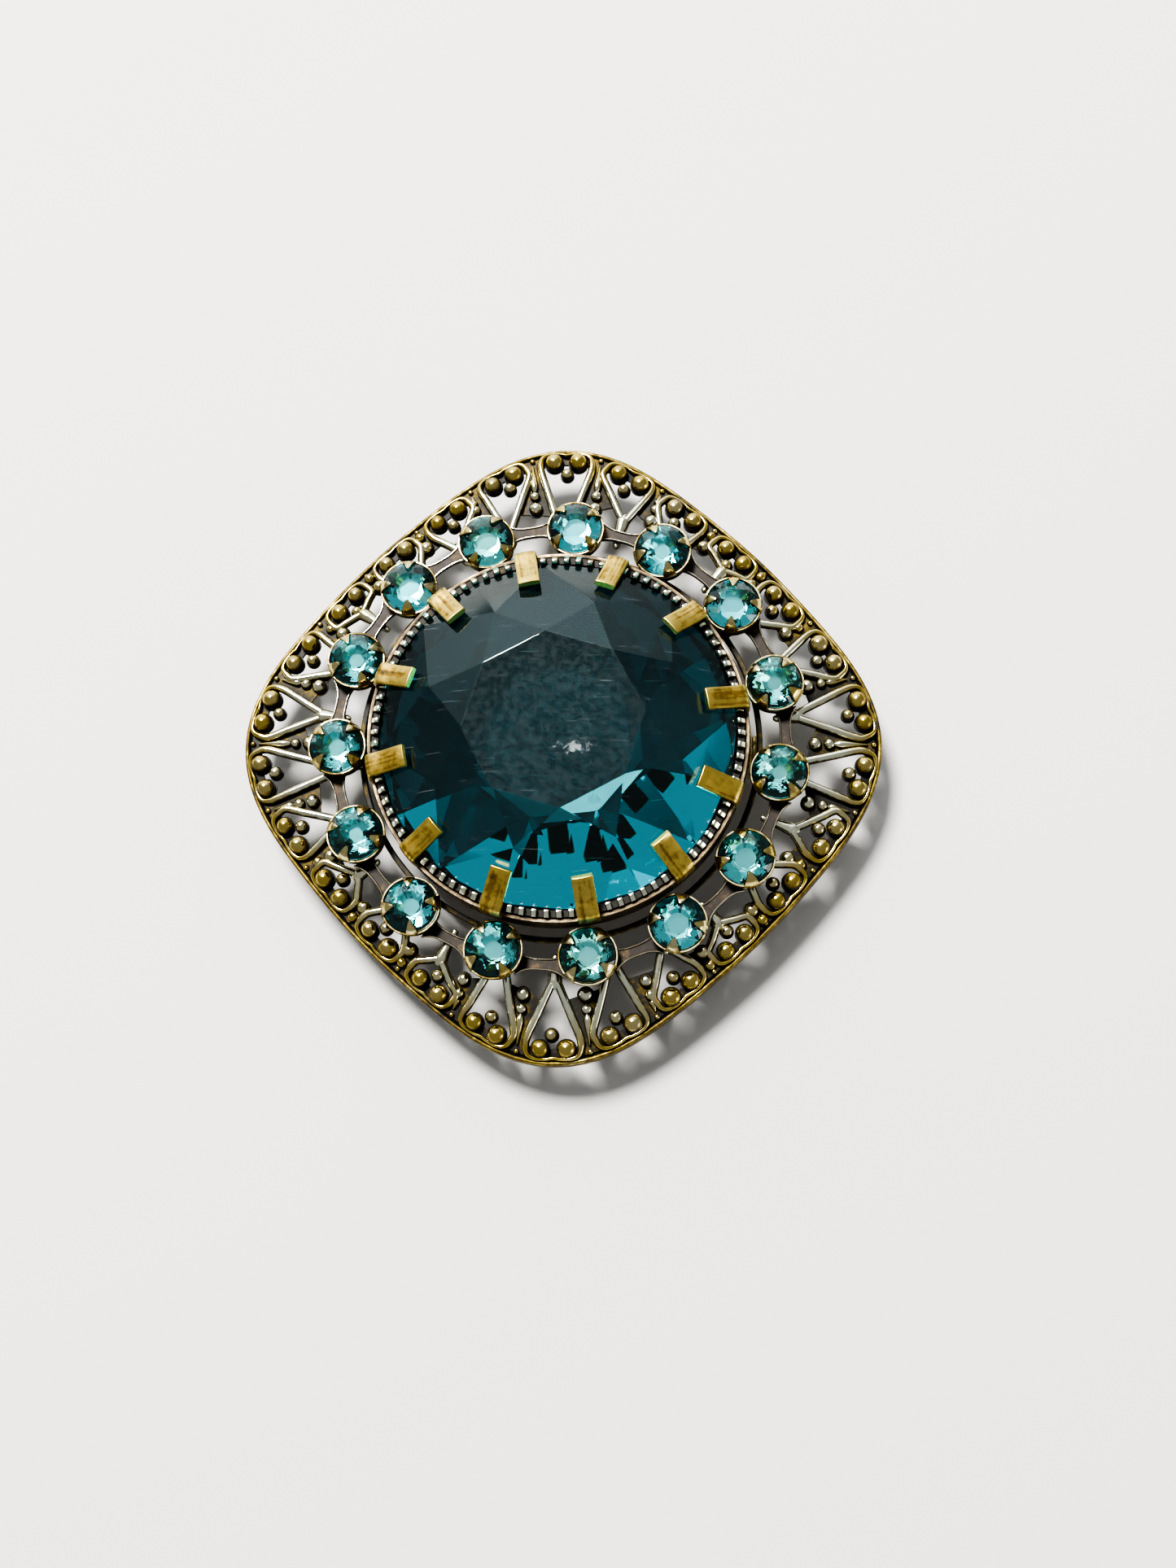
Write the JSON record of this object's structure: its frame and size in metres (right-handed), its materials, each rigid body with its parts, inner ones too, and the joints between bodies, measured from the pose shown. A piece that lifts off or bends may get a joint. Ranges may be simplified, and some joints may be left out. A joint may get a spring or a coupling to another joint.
{
  "type": "brooch",
  "caption": "Cushion-shaped antiqued brass filigree brooch with a large round faceted teal glass stone, a ring of aqua chatons, a hinged pin and a locking barrel catch.",
  "frame": {"origin": "middle of the footprint, on the surface that the pin fittings rest on with the brooch lying face up", "axes": "+Z out of the front of the brooch, +X from the pin's hinge to its catch, +Y towards the top of the brooch as worn"},
  "size_m": [0.0456, 0.0456, 0.0106],
  "materials": {
    "antique_brass": "antiqued brass, dark in the recesses and rubbed bright on the relief",
    "dark_brass": "heavily darkened brass with bright edges",
    "prong_brass": "yellow brass, scratched, brown in the scratches",
    "teal_glass": "polished faceted teal glass, lightly scratched table",
    "aqua_glass": "polished faceted aqua glass with a foiled back",
    "pin_steel": "drawn pin wire, slightly tarnished"
  },
  "bodies": {
    "brooch_body": {"filigree_frame": "antique_brass", "chaton_ring_plate": "dark_brass", "chaton_cup_01": "antique_brass", "chaton_cup_02": "antique_brass", "chaton_cup_03": "antique_brass", "chaton_cup_04": "antique_brass", "chaton_cup_05": "antique_brass", "chaton_cup_06": "antique_brass", "chaton_cup_07": "antique_brass", "chaton_cup_08": "antique_brass", "chaton_cup_09": "antique_brass", "chaton_cup_10": "antique_brass", "chaton_cup_11": "antique_brass", "chaton_cup_12": "antique_brass", "chaton_cup_13": "antique_brass", "chaton_cup_14": "antique_brass", "chaton_cup_15": "antique_brass", "chaton_01": "aqua_glass", "chaton_02": "aqua_glass", "chaton_03": "aqua_glass", "chaton_04": "aqua_glass", "chaton_05": "aqua_glass", "chaton_06": "aqua_glass", "chaton_07": "aqua_glass", "chaton_08": "aqua_glass", "chaton_09": "aqua_glass", "chaton_10": "aqua_glass", "chaton_11": "aqua_glass", "chaton_12": "aqua_glass", "chaton_13": "aqua_glass", "chaton_14": "aqua_glass", "chaton_15": "aqua_glass", "centre_setting": "prong_brass", "milled_bezel": "dark_brass", "centre_stone": "teal_glass", "pin_bar": "antique_brass", "hinge_bracket": "antique_brass", "hinge_rivet": "antique_brass", "catch_body": "antique_brass"},
    "pin": {"pin_stem": "pin_steel"},
    "barrel": {"catch_barrel": "antique_brass"}
  },
  "joints": [
    {"name": "pin_hinge", "type": "hinge", "parent": "brooch_body", "child": "pin", "pos_m": [-0.0122, 0, 0.00145], "axis": [0, 1, 0], "range_deg": [0, 75]},
    {"name": "catch_turn", "type": "hinge", "parent": "brooch_body", "child": "barrel", "pos_m": [0.0125, 0, 0.00145], "axis": [1, 0, 0], "range_deg": [-110, 0]}
  ]
}
